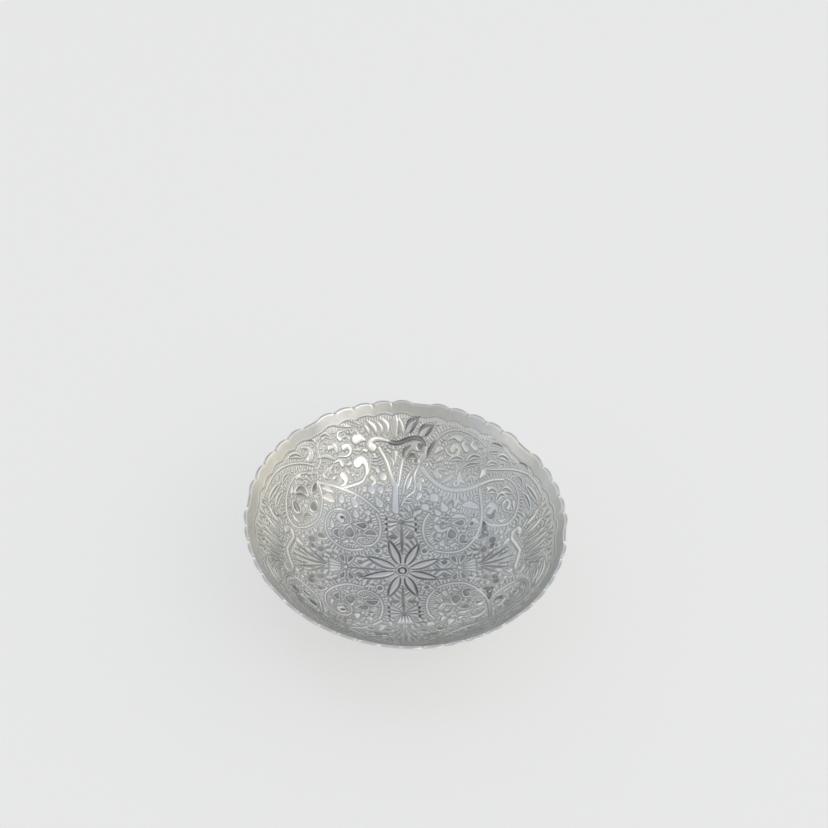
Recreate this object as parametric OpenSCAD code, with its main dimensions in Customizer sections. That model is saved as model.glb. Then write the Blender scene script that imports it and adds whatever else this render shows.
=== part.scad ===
// Offering bowl: a pressed and engraved sheet bowl with a scalloped lip, soldered on a low foot ring.
// The origin lies on the table under the middle of the bowl, and +Z is the bowl's axis.

/* [Bowl] */
// Width across the mouth, between the inner edges of the lip
mouth_d = 112.5; // [96:0.5:150]
// Depth inside, from the lip down to the middle
bowl_depth = 30.3; // [20:0.1:45]
// Thickness of the sheet
sheet_t = 1; // [0.6:0.1:2]
// Radius of the gentle dishing of the bottom, inside
dish_r = 105; // [70:1:200]
// Width of the gently dished bottom, up to where it turns into the wall
dish_d = 56; // [48:1:70]
// Width at the corner of bottom and wall, before the turn rounds it
corner_d = 76; // [62:1:90]

/* [Rim] */
// Number of sections round the lip, each between two broad hollows
rim_sections = 8; // [6:1:12]
// How far the lip drops at the notch between two lobes
notch_drop = 0.6; // [0.3:0.05:1.2]
// How far the lip drops in the middle of a broad hollow
hollow_drop = 0.85; // [0.4:0.05:1.4]
// Angle from +X to the first broad hollow, in degrees
first_hollow = 37.5; // [0:0.5:45]

/* [Foot] */
// Width across the foot's base
foot_d = 48; // [45:0.5:60]
// Width across the foot's neck, where it meets the bowl
neck_d = 43; // [36:0.5:46]
// Height of the bowl's underside above the table, in the middle
foot_clearance = 5; // [4.5:0.1:12]
// Thickness of the foot's neck
neck_t = 1.2; // [0.8:0.1:2.5]
// Width of the flat ring that the bowl rests on
base_w = 2; // [1:0.1:3]
// Height of the upright edge at the foot's base
base_edge_h = 1.2; // [0.6:0.1:2]
// Height at which the flare ends and the neck stands upright
neck_h = 3.6; // [2.4:0.1:4.4]

/* [Solder] */
// Length that the solder climbs up the bowl and down the foot
solder_leg = 0.9; // [0.4:0.1:1.5]
// Thickness of the solder between the foot's neck and the bowl
solder_film = 0.1; // [0.05:0.05:0.3]

/* [Hidden] */
$fn = 180;

// How far a cut or an extended piece runs past what it meets
overrun = 1;
// How far the stretches of the bowl's section run into each other, to make one sheet
lap = 0.05;
// Clearance at the curved seats of the solder
seat_gap = 0.02;
// Facets of the large circles that the dished bottom follows
DISH_FACETS = 1440;

// Profile of the inside, with its heights counted from the middle of the floor
dish_edge = dish_d / 2;
dish_slope = asin(dish_edge / dish_r);
dish_rise = dish_r - dish_r * cos(dish_slope);
corner = [corner_d / 2, dish_rise + (corner_d / 2 - dish_edge) * tan(dish_slope)];
mouth = [mouth_d / 2, bowl_depth];
wall_slope = atan2(mouth.y - corner.y, mouth.x - corner.x);
turn_reach = (corner.x - dish_edge) / cos(dish_slope);
turn_r = turn_reach / tan((wall_slope - dish_slope) / 2);
turn_centre = [dish_edge, dish_rise] + turn_r * [-sin(dish_slope), cos(dish_slope)];
wall_start = turn_centre + turn_r * [sin(wall_slope), -cos(wall_slope)];
lap_angle = asin(lap / turn_r);

// The lip is the sheet's edge cut level, so it is wider than the sheet is thick
lip_w = sheet_t / sin(wall_slope);
rim_r = mouth.x + lip_w;
floor_z = foot_clearance + sheet_t;
lip_z = floor_z + bowl_depth;
dish_centre_z = floor_z + dish_r;
dish_outer_r = dish_r + sheet_t;

// Each section holds a row of equal lobes, and the hollow takes up the rest of it
LOBES_PER_SECTION = 5;
LOBE_SHARE = 0.169;
section_angle = 360 / rim_sections;
lobe_angle = section_angle * LOBE_SHARE;
hollow_angle = section_angle / 2 - lobe_angle * (LOBES_PER_SECTION - 1) / 2;

// Each lobe is an arc that drops by notch_drop at half a lobe's width
half_lobe = mouth.x * sin(lobe_angle / 2);
lobe_r = (half_lobe ^ 2 + notch_drop ^ 2) / (2 * notch_drop);
// A lobe is cut wider than it shows, so that it runs under its neighbour
LOBE_OVERLAP_SHARE = 1.5;
lobe_cut_half = half_lobe * LOBE_OVERLAP_SHARE;

// The hollow's arc sags from the outer lobes; it is flatter than the arc that would just touch them
HOLLOW_FLATNESS_SHARE = 1.35;
hollow_reach = mouth.x * sin(hollow_angle);
hollow_r = (hollow_reach ^ 2 / (2 * hollow_drop) - lobe_r) * HOLLOW_FLATNESS_SHARE;
hollow_half = hollow_reach * hollow_r / (hollow_r + lobe_r);
trim_depth = 2 * max(notch_drop, hollow_drop);

// Radii and heights of the foot ring
base_r = foot_d / 2;
neck_r = neck_d / 2;
neck_in_r = neck_r - neck_t;

// Height of the bowl's underside at a given radius, on the dished bottom
function underside_z(r) = dish_centre_z - sqrt(dish_outer_r ^ 2 - r ^ 2);
// Points along the bowl's underside from one radius to another, lowered by drop
ARC_STEPS = 8;
function underside_arc(from, to, drop) = [
    for (i = [0 : ARC_STEPS]) let (r = from + (to - from) * i / ARC_STEPS) [r, underside_z(r) - drop]
];
// Point at a distance from a centre, at an angle from straight down towards the outside
function below(centre, r, angle) = centre + r * [sin(angle), -cos(angle)];

// Piece of a curved sheet between two slopes, seen in section
module curved_sheet(centre, r, from, to) {
    reach = (r + sheet_t + overrun) / cos((to - from) / 2);
    intersection() {
        translate(centre) difference() {
            circle(r + sheet_t, $fn = DISH_FACETS);
            circle(r, $fn = DISH_FACETS);
        }
        polygon([centre, below(centre, reach, from), below(centre, reach, to)]);
    }
}

// Straight wall in section, running on past the lip
module straight_wall() {
    run = [cos(wall_slope), sin(wall_slope)];
    start = wall_start + [0, floor_z] - lap * run;
    outer_start = below(start, sheet_t, wall_slope);
    past_lip = norm(mouth - wall_start) + sheet_t + 2 * overrun;
    polygon([start, outer_start, outer_start + past_lip * run, start + past_lip * run]);
}

// One lobe of the lip, laid along +X and seen from outside
module lobe() {
    extrude_across_lip() intersection() {
        translate([0, -lobe_r]) circle(lobe_r);
        translate([-lobe_cut_half, -trim_depth - overrun])
            square([2 * lobe_cut_half, trim_depth + 2 * overrun]);
    }
}

// Metal under one broad hollow of the lip
module hollow() {
    extrude_across_lip() difference() {
        translate([-hollow_half, -trim_depth - overrun]) square([2 * hollow_half, trim_depth + overrun]);
        translate([0, hollow_r - hollow_drop]) circle(hollow_r);
    }
}

// Carries an outline, drawn as seen from outside, across the lip
module extrude_across_lip() {
    translate([mouth.x - lip_w - overrun, 0, lip_z]) rotate([90, 0, 90])
        linear_extrude(3 * lip_w + 2 * overrun) children();
}

// Everything below the scalloped line of the lip
module below_lip() {
    cylinder(r = rim_r + 2 * (lip_w + overrun), h = lip_z - trim_depth);
    for (i = [0 : rim_sections - 1]) {
        rotate(first_hollow + i * section_angle) hollow();
        for (j = [0 : LOBES_PER_SECTION - 1])
            rotate(first_hollow + i * section_angle + hollow_angle + j * lobe_angle) lobe();
    }
}

module bowl_shell() {
    color("silver") intersection() {
        rotate_extrude() {
            curved_sheet([0, dish_centre_z], dish_r, 0, dish_slope);
            curved_sheet(turn_centre + [0, floor_z], turn_r, dish_slope - lap_angle, wall_slope);
            straight_wall();
        }
        below_lip();
    }
}

module foot_ring() {
    color("silver") rotate_extrude() difference() {
        polygon([
            [base_r - base_w, 0], [base_r, 0], [base_r, base_edge_h], [neck_r, neck_h],
            [neck_r, floor_z + dish_rise], [neck_in_r, floor_z + dish_rise], [neck_in_r, neck_h],
        ]);
        translate([0, dish_centre_z]) circle(dish_outer_r + solder_film, $fn = DISH_FACETS);
    }
}

// One run of solder: a fillet on each side of the foot's neck, and the film between neck and bowl
module solder_seam() {
    color("gainsboro") rotate_extrude() polygon(concat(
        underside_arc(neck_in_r - solder_leg, neck_r + solder_leg, seat_gap),
        [[neck_r + seat_gap, underside_z(neck_r) - solder_leg]],
        underside_arc(neck_r + seat_gap, neck_in_r - seat_gap, solder_film - seat_gap),
        [[neck_in_r - seat_gap, underside_z(neck_in_r) - solder_leg]]
    ));
}

bowl_shell();
foot_ring();
solder_seam();
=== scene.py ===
import bpy
import math
import numpy as np
from mathutils import Matrix, Vector


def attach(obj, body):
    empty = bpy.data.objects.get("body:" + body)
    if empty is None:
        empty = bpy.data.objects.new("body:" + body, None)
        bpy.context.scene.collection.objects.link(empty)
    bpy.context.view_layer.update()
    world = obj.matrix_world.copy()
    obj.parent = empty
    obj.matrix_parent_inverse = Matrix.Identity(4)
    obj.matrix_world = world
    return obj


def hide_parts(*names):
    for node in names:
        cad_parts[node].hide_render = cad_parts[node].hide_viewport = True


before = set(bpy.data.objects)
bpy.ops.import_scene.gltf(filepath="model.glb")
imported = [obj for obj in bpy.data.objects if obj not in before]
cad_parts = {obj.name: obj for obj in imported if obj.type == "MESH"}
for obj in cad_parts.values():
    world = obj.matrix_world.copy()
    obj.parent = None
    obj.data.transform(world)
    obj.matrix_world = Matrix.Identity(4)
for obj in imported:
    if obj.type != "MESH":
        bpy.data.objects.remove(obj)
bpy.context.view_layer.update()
bpy.ops.object.select_all(action="DESELECT")

MM = 0.001

# The bowl's section, in millimetres

MOUTH_R = 56.25
DEPTH = 30.3
SHEET_T = 1.0
DISH_R = 105.0
DISH_EDGE = 28.0
CORNER_R = 38.0
FOOT_CLEARANCE = 5.0
FLOOR_Z = FOOT_CLEARANCE + SHEET_T
LIP_Z = FLOOR_Z + DEPTH

DISH_SLOPE = math.asin(DISH_EDGE / DISH_R)
DISH_RISE = DISH_R * (1 - math.cos(DISH_SLOPE))
CORNER_RISE = DISH_RISE + (CORNER_R - DISH_EDGE) * math.tan(DISH_SLOPE)
WALL_SLOPE = math.atan2(DEPTH - CORNER_RISE, MOUTH_R - CORNER_R)
TURN_R = (CORNER_R - DISH_EDGE) / math.cos(DISH_SLOPE) / math.tan((WALL_SLOPE - DISH_SLOPE) / 2)
TURN_X = DISH_EDGE - TURN_R * math.sin(DISH_SLOPE)
TURN_Z = DISH_RISE + TURN_R * math.cos(DISH_SLOPE)
DISH_END = DISH_R * DISH_SLOPE
TURN_END = DISH_END + TURN_R * (WALL_SLOPE - DISH_SLOPE)
WALL_X = TURN_X + TURN_R * math.sin(WALL_SLOPE)
WALL_Z = TURN_Z - TURN_R * math.cos(WALL_SLOPE)
LIP_AT = TURN_END + math.hypot(MOUTH_R - WALL_X, DEPTH - WALL_Z)
LIP_W = SHEET_T / math.sin(WALL_SLOPE)

# The lip: in each section, five lobes with notches between them and one broad hollow
SECTIONS = 8
SECTION_ANGLE = 2 * math.pi / SECTIONS
FIRST_HOLLOW = math.radians(37.5)
LOBES = 5
LOBE_SHARE = 0.169
LOBE_ANGLE = SECTION_ANGLE * LOBE_SHARE
HOLLOW_ANGLE = SECTION_ANGLE / 2 - LOBE_ANGLE * (LOBES - 1) / 2
NOTCH_DROP = 0.6
HOLLOW_DROP = 0.85
HOLLOW_RISE = 0.74
HOLLOW_END = 0.3
SCALLOP_FROM, SCALLOP_FULL = LIP_AT - 9, LIP_AT - 0.3


def section(along, lift=0):
    """Radius and height of the inside, at a distance along the sheet from its middle and a lift off it."""
    s = np.asarray(along, float)
    in_dish = s < DISH_END
    dish = s / DISH_R
    turn = np.clip(DISH_SLOPE + (s - DISH_END) / TURN_R, DISH_SLOPE, WALL_SLOPE)
    up = np.maximum(s - TURN_END, 0)
    turn_r = TURN_X + TURN_R * np.sin(turn) + up * math.cos(WALL_SLOPE)
    turn_z = TURN_Z - TURN_R * np.cos(turn) + up * math.sin(WALL_SLOPE)
    slope = np.where(in_dish, dish, turn)
    r = np.where(in_dish, DISH_R * np.sin(dish), turn_r)
    z = np.where(in_dish, DISH_R * (1 - np.cos(dish)), turn_z)
    return r - lift * np.sin(slope), z + FLOOR_Z + lift * np.cos(slope)


def lip_drop(angle):
    """How far the lobes and hollows lower the lip at an angle round the bowl."""
    from_hollow = np.mod(np.asarray(angle) - FIRST_HOLLOW, SECTION_ANGLE)
    from_hollow = np.minimum(from_hollow, SECTION_ANGLE - from_hollow)
    step = np.clip(np.round((from_hollow - HOLLOW_ANGLE) / LOBE_ANGLE), 0, LOBES)
    from_lobe = from_hollow - HOLLOW_ANGLE - step * LOBE_ANGLE
    lobe = NOTCH_DROP * (from_lobe / (LOBE_ANGLE / 2)) ** 2
    hollow = HOLLOW_DROP * (1 - HOLLOW_RISE * (from_hollow / HOLLOW_ANGLE) ** 2)
    in_hollow = from_hollow < HOLLOW_ANGLE - HOLLOW_END * LOBE_ANGLE
    return np.where(in_hollow, np.minimum(lobe, hollow), np.minimum(lobe, NOTCH_DROP))


def notch_angles():
    """Angles of the sharp notches between lobes."""
    return [FIRST_HOLLOW + k * SECTION_ANGLE + HOLLOW_ANGLE + (j + 0.5) * LOBE_ANGLE
            for k in range(SECTIONS) for j in range(LOBES - 1)]


def ease(low, high, x):
    """Smooth step from 0 at low to 1 at high."""
    t = np.clip((x - low) / (high - low), 0, 1)
    return t * t * (3 - 2 * t)


def scallop(along, angle):
    """How far the scalloped lip pulls the sheet back along the wall."""
    return lip_drop(angle) / math.sin(WALL_SLOPE) * ease(SCALLOP_FROM, SCALLOP_FULL, along)


# The ornament, laid out flat
# The inside is unrolled: a point's distance from the middle is its distance along the sheet.
# +Y is the large palmette. Millimetres throughout.

RAISED, CUT = [], []
STEM_SHARE = 0.6
TAIL, POINT = 0.12, 0.08     # half widths left at a thin end


def flow(points, steps=6):
    """A smooth line through the points."""
    p = np.array(points, float)
    if len(p) < 3:
        t = np.linspace(0, 1, steps + 1)[:, None]
        return p[0] + (p[1] - p[0]) * t
    ends = np.vstack([2 * p[0] - p[1], p, 2 * p[-1] - p[-2]])
    t = np.linspace(0, 1, steps, endpoint=False)[:, None]
    out = []
    for a, b, c, d in zip(ends, ends[1:], ends[2:], ends[3:]):
        out.append(0.5 * (2 * b + (c - a) * t + (2 * a - 5 * b + 4 * c - d) * t ** 2
                          + (3 * b - a - 3 * c + d) * t ** 3))
    return np.vstack(out + [p[-1:]])


def band(points, width, end_width=None, into=RAISED):
    """A stem of even or tapering width."""
    line = flow(points)
    end = width if end_width is None else end_width
    into.append((line, np.linspace(width, end, len(line)) * STEM_SHARE / 2))


def comma(points, width, into=RAISED):
    """A leaf with a round head at its first point and a tail that thins to nothing."""
    line = flow(points)
    t = np.linspace(0, 1, len(line))
    into.append((line, width / 2 * (1 - t) ** 0.75 + TAIL))


def leaf(points, width, into=RAISED):
    """A leaf pointed at both ends."""
    line = flow(points, 8)
    t = np.linspace(0, 1, len(line))
    into.append((line, width / 2 * np.sin(np.pi * np.clip(t, 0.02, 0.98)) ** 0.8))


def drop(tip, head, width, into=RAISED):
    """A leaf with a pointed tip and a round head."""
    line = flow([tip, head], 8)
    t = np.linspace(0, 1, len(line))
    into.append((line, width / 2 * t ** 0.8 + POINT))


def disc(x, y, width, into=RAISED):
    """A round boss."""
    into.append((np.array([[x, y], [x + 0.01, y]]), np.full(2, width / 2)))


def ring(x, y, size, width, into=RAISED):
    """A small closed circle."""
    a = np.linspace(0, 2 * np.pi, 25)
    circle = np.stack([x + size / 2 * np.cos(a), y + size / 2 * np.sin(a)], 1)
    into.append((circle, np.full(len(a), width / 2)))


def placed(marks, turn, flip):
    """A motif's strokes, mirrored across Y if asked and then turned about the middle, in degrees."""
    c, s = math.cos(math.radians(turn)), math.sin(math.radians(turn))
    out = []
    for line, half in marks:
        p = line * [-1, 1] if flip else line
        out.append((p @ np.array([[c, s], [-s, c]]), half))
    return out


def motif(draw, turns):
    """Draws a motif once and sets it at each (turn, flip)."""
    kept = list(RAISED), list(CUT)
    RAISED.clear(), CUT.clear()
    draw()
    raised, cut = list(RAISED), list(CUT)
    RAISED[:], CUT[:] = kept
    for turn, flip in turns:
        RAISED.extend(placed(raised, turn, flip))
        CUT.extend(placed(cut, turn, flip))


def stroke(points, width):
    """A cut that swells in the middle and thins to both ends."""
    leaf(points, width, CUT)


def veined(points, width, vein=0.4):
    """A raised leaf with a cut along its middle; a wide cut makes it hollow, with a raised edge."""
    line = flow(points, 8)
    leaf(points, width)
    end = len(line) // 6
    stroke([line[end], line[len(line) // 2], line[-1 - end]], vein)


def cup(tip, head, width):
    """A petal hollowed like a spoon, with a raised rim."""
    tip, head = np.array(tip, float), np.array(head, float)
    drop(tip, head, width + 0.3)
    drop(tip + (head - tip) * 0.4, head, width - 0.8, CUT)


def rosette():
    """Button with eight pointed petals, each drawn by two swelling cuts."""
    disc(0, 0, 1.9)
    ring(0, 0, 2.7, 0.3, CUT)
    ring(0, 0, 3.9, 0.4)
    petals = [(28, 13.4), (71, 14.2), (109, 13.4), (158, 13.1), (203, 13.8), (254, 15.2), (294, 14),
              (341, 14.1)]
    for bearing, reach in petals:
        a = math.radians(bearing)
        way, across = np.array([math.sin(a), math.cos(a)]), np.array([math.cos(a), -math.sin(a)])
        leaf([way * 3.2, way * reach * 0.56, way * (reach + 0.1)], 2.9)
        for side in (-1, 1):
            edge = ((3.6, 0.75), (reach * 0.5, 1.35), (reach * 0.78, 0.95), (reach - 0.2, 0.1))
            stroke([way * out + across * side * wide for out, wide in edge], 0.55)
    for bearing, reach in ((45, 11.8), (135, 11.6), (225, 11.9), (315, 12.2)):
        a = math.radians(bearing)
        x, y = reach * math.sin(a), reach * math.cos(a)
        hook = ((1, 0), (1.06, 0.08), (1.24, 0.1))
        comma([(x * out - y * bend, y * out + x * bend) for out, bend in hook], 2.7)
        disc(x * 1.02 - y * 0.02, y * 1.02 + x * 0.02, 1.6, CUT)


def axis_flower():
    """Stem on an axis, with its two leaves and a flower of short gadroons round a punched dot."""
    stroke([(0.1, 7.2), (0.2, 14.6), (0.1, 20.2)], 1)
    disc(0.1, 21.2, 1.8, CUT)
    for side in (-1, 1):
        stroke([(side * 4.7, 15.1), (side * 3.1, 15), (side * 1.5, 14.9)], 1.5)
        for near, far in ((19.9, 18.2), (20.9, 20.4), (21.9, 22.6)):
            drop((side * 1.5, near), (side * 4.6, far), 1.2)
            disc(side * 5.5, far * 1.02 - 0.4, 0.8, CUT)


def side_flower():
    """The same flower on the two sides, its outer petals ending in deep cups."""
    stroke([(0.1, 6.4), (0.2, 13), (0.1, 19.8)], 0.7)
    disc(0, 20.9, 1.4)
    for side in (-1, 1):
        disc(side * 3, 15.5, 1.7, CUT)
        for along, spread in ((18.9, 4.6), (22.4, 4.6)):
            cup((side * 1.4, 20.6 + (along - 20.9) * 0.25), (side * spread, along), 2.1)


def outward_fan():
    """Short gadroons beyond the dot of an axis flower."""
    for x in (-2.4, -0.9, 0.7, 2.2):
        drop((x * 0.55, 22.6), (x, 26.4), 1.2)


def small_palmette():
    """Palmette of the three smaller sides: a veined shield under a curled bracket, and palm leaves beyond."""
    stroke([(0, 28.6), (0.1, 34), (0.1, 41.4)], 0.8)
    for side in (-1, 1):
        stroke([(side * 0.7, 29.4), (side * 2.6, 34), (side * 5, 39.6)], 0.8)
        stroke([(side * 1.6, 35.2), (side * 2.3, 38), (side * 2.6, 40.6)], 0.5)
        stroke([(side * 0.9, 28.6), (side * 3, 31.2), (side * 5.4, 34.6)], 0.8)
        disc(side * 6.4, 30.3, 3.2)
        disc(side * 6.4, 30.3, 2.4, CUT)
        disc(side * 9.7, 33.8, 3.5)
        disc(side * 9.7, 33.8, 2.7, CUT)
        drop((side * 8.4, 34.2), (side * 6.9, 33.2), 1.3, CUT)
        drop((side * 5.6, 37.2), (side * 7.2, 39.6), 1.9)
        disc(side * 9.6, 37.4, 1.6)
        cup((side * 11.6, 27.6), (side * 12.3, 30.4), 2.7)
        comma([(side * 8.8, 45.2), (side * 10.2, 44.2), (side * 9.6, 42), (side * 6.6, 41.6)], 2.4)
        band([(side * 9.4, 42.4), (side * 7.2, 41.6), (side * 3.6, 43), (0, 44.3)], 2.4, 2.2)
        for near, far, reach in ((2.4, 3, 57.6), (6, 8.2, 57), (9.4, 13.2, 56)):
            leaf([(side * near, 46.4), (side * (near + far) / 2, 51.5), (side * far, reach)], 2.7)
            band([(side * (near + 0.3), 48.6), (side * (far - 0.3), reach - 3)], 0.2, 0.1, CUT)
    leaf([(0, 45.8), (0, 52), (0, 58.6)], 2.6)


def large_palmette():
    """The large palmette: a forked stem, a long bracket with two curls, and a crown of palm leaves."""
    band([(-2, 26.2), (-2, 31), (-1.8, 36.5)], 4, 3)
    band([(-2.6, 36.4), (-4.2, 40.6), (-6, 45.2), (-9.2, 49.8)], 2.8, 2.2)
    band([(-1, 36.6), (-0.3, 41), (0.6, 45.4), (1.8, 49), (3.6, 51.6)], 2, 1.8)
    ring(-1.9, 40.5, 1.7, 0.6)
    drop((-2.2, 44.2), (-2.5, 48), 2.3)
    leaf([(-3.3, 42.6), (-3, 44.8), (-4.6, 46.8)], 0.9)
    # bracket
    comma([(-11.9, 49.6), (-13.4, 50.6), (-12.6, 52.3), (-10.2, 53.2), (-6.6, 52.9), (-3.4, 52.2)], 3.2)
    band([(-5, 52.4), (-2.4, 51.9), (0.6, 52.4), (3.4, 53.5), (6.2, 53.8), (8.6, 52.8), (9.6, 50.9),
          (8.8, 49.4)], 1.6, 1.4)
    band([(-4.2, 52), (-1, 52), (2.4, 53.3), (6, 53.9), (8.6, 53), (9.7, 51.2)], 2.6, 1.8, CUT)
    disc(8, 50.6, 2.5, CUT)
    stroke([(0.8, 46), (1.6, 49.2), (4.2, 51.2)], 1.1)
    stroke([(2.4, 46), (4.6, 47.3), (6.9, 45.8)], 1.1)
    disc(6, 45.2, 1.4, CUT)
    stroke([(10.8, 46), (12, 49.4), (14.8, 52.6)], 1.1)
    # right half
    band([(0.3, 28.2), (1.6, 30.9), (3.4, 32.6), (5.1, 33.9), (5.6, 36.6), (5.4, 40), (7, 43.2),
          (9.6, 46.4), (10.4, 50.4)], 1, 1)
    band([(0.9, 33.2), (1.7, 37), (3.1, 40.2), (5, 42.4)], 0.9, 0.7)
    leaf([(2.4, 34.6), (3.2, 37.2), (4.4, 39.6)], 1.4)
    comma([(6.1, 45.2), (5.2, 46.6), (3.4, 46.6), (2.2, 45.8)], 2.6)
    comma([(7.4, 50.6), (5.2, 50.8), (3.2, 49.6), (2, 46.8)], 3.6)
    drop((8, 45.4), (8.9, 47.4), 1.1)
    for y in (30.6, 32.2):
        leaf([(1, y), (2.2, y - 1.2), (4.4, y - 1)], 0.7)
    # crown
    leaf([(-2.3, 53.8), (-2.6, 58.4), (-2.7, 62.8)], 3.6)
    band([(-1.3, 55.6), (-1.1, 60)], 0.35, 0.2, CUT)
    leaf([(0.9, 55.6), (0.2, 59), (-1.9, 62.6)], 1.1)
    leaf([(-6, 55), (-6.5, 58.8), (-10.6, 62.2)], 2.3)
    leaf([(-8.4, 55), (-8.9, 57.8), (-11.4, 60.2)], 1.6)
    leaf([(-10.6, 54.9), (-12, 57.6), (-15.8, 60.2)], 2.1)
    leaf([(-13.4, 54.4), (-14.8, 56.6), (-16.6, 58.2)], 1.5)
    leaf([(2.6, 55.8), (4.7, 59.6), (8.6, 62.5)], 3.4)
    leaf([(8.4, 54.4), (10.8, 57.1), (14, 58.6)], 3.4)
    stroke([(2, 57.4), (3.4, 60.2), (5.6, 61.3), (8.7, 62.4)], 1.2)
    stroke([(3.9, 55.4), (5.6, 58.6), (7.9, 62)], 1.2)
    stroke([(7.1, 55), (8.4, 57.2), (10.6, 58.3), (14, 58.4)], 1.2)
    stroke([(10.4, 54.2), (12.2, 56.4), (13.9, 58.4)], 1.2)


def north_west():
    """Medallion and scrolls to the left of the large palmette."""
    # medallion scroll round a trefoil
    band([(-14.6, 8.9), (-20, 8.1), (-25.2, 10.4), (-28.2, 14.4), (-28.6, 18.8), (-27.2, 22.6), (-24, 24.8),
          (-20.7, 24.4), (-19, 22.3), (-19, 19.8)], 1.3, 0.9)
    band([(-9.2, 24.6), (-8, 21.2), (-7.7, 17.6), (-8.6, 14), (-10.9, 11.2), (-14, 10.4), (-16.3, 11.6),
          (-16.2, 13.4), (-14.2, 14), (-12.6, 13)], 1.2, 0.8)
    comma([(-22.4, 20.4), (-23.8, 21.2), (-23.3, 22.7), (-21.5, 22.4), (-20.6, 21.2)], 1.7)
    band([(-19.6, 19.3), (-21.8, 18.5), (-24.2, 19.2)], 0.7, 0.9)
    cup((-18.2, 19.5), (-14.2, 19.1), 2.9)
    cup((-19.2, 19), (-19.4, 15.3), 3.9)
    veined([(-14.2, 15.4), (-11.4, 16.5), (-8.8, 15.2)], 3, 1.8)
    veined([(-23.4, 16.8), (-24.6, 14.8), (-23.2, 12.6)], 2.6, 1.3)
    disc(-24.4, 11.3, 1.2)
    drop((-22, 11), (-20.4, 11.8), 1.2)
    drop((-26.4, 20.4), (-26, 17.6), 1.5)
    # stem to the great scroll and its leaves
    band([(-8.4, 25.6), (-12, 28.5), (-16.4, 31.2), (-21.5, 32.7), (-27, 33.2), (-33, 32.6)], 1.5, 2.3)
    band([(-22.6, 33.2), (-18.4, 35), (-15, 36.8), (-13.8, 39)], 2.4, 1.8)
    comma([(-17.6, 43.2), (-16.2, 44.6), (-14.3, 43.6), (-13.5, 41.2), (-13.9, 38.2)], 3.5)
    band([(-13, 39.4), (-12.3, 42.6), (-12.6, 46.6)], 0.9, 0.7)
    comma([(-14.4, 48.2), (-15.7, 48.4), (-16.4, 46.8)], 1.3)
    comma([(-22.9, 37.8), (-21.6, 36.6), (-21.9, 34.9), (-23.8, 33.7)], 2.8)
    comma([(-24.2, 48.2), (-22.4, 49), (-21, 47.3), (-22.2, 45.3), (-25.8, 44.5)], 2.4)
    comma([(-19.4, 52), (-17.4, 52.6), (-14.8, 52.2)], 3.8)
    leaf([(-20.2, 55.6), (-18.2, 54), (-16.4, 53.6)], 1)
    comma([(-11.4, 38.6), (-10.2, 37.4), (-11, 36), (-12.4, 36.6)], 1.7)
    disc(-11.2, 33.9, 3.1)
    disc(-7.9, 34.2, 2.7)
    disc(-22.3, 21.5, 0.7, CUT)
    disc(-7, 39.2, 3.3)
    drop((-9.6, 31.6), (-8, 28.8), 2.7)
    disc(-4.9, 30.9, 1.8)
    drop((-4.6, 28.8), (-5.2, 26.6), 1.4)
    leaf([(-9.6, 36.6), (-8.4, 36.9), (-6.4, 36.2)], 1.1)
    disc(-12.6, 24.8, 2.2)
    drop((-17.4, 25.8), (-17, 23.4), 2.2)
    drop((-22.9, 31), (-22.8, 28.6), 2.5)
    leaf([(-30.4, 27.9), (-28, 28.5), (-25.4, 27.2)], 2.9)
    drop((-19, 30.4), (-17.4, 27.8), 2.5)
    disc(-17.6, 30.3, 1.2)
    leaf([(-31.2, 31.2), (-28.6, 31.4), (-25.6, 30.6)], 1.8)
    disc(-19, 38.6, 1.3)
    disc(-26.4, 36.2, 1.6)
    comma([(-23.6, 41.6), (-25.4, 43), (-27.4, 41.6)], 1.8)
    # great scroll
    band([(-33.4, 33.2), (-31.2, 29.6), (-30.5, 25), (-31, 20.4), (-33.2, 16.6), (-37, 13.4), (-41.2, 12.2),
          (-44.8, 14.2), (-46.7, 18), (-47.2, 23), (-46.2, 28), (-43.4, 32.4), (-39.6, 34.6)], 1.3, 1.1)
    leaf([(-43.9, 25.2), (-40.2, 26.9), (-36.5, 26.3)], 4.9)
    stroke([(-42.8, 26.2), (-40.4, 28), (-37.6, 27.2)], 2.2)
    stroke([(-42.6, 24.8), (-40, 25.5), (-37.4, 25.4)], 1.4)
    cup((-33, 26.2), (-33.8, 23), 3.7)
    veined([(-34, 32.8), (-34.3, 30.4), (-35.3, 27.8)], 2.8, 1.8)
    leaf([(-43.8, 30.6), (-42.6, 32.2), (-40.6, 31.4)], 1.8)
    leaf([(-39.9, 17.9), (-41.4, 20.2), (-43.9, 22.1)], 4)
    stroke([(-40, 19), (-40.8, 20.7), (-42.8, 21.9)], 1.1)
    stroke([(-41, 18.6), (-42.1, 19.8), (-43.4, 21.3)], 1.1)
    veined([(-38.2, 16.6), (-36.4, 19), (-33.4, 19.4)], 2.3, 1.1)
    drop((-45.4, 27.4), (-44.8, 25), 1.6)
    leaf([(-38.6, 14.6), (-41, 15.2), (-43, 16.4)], 1.1)
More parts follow.
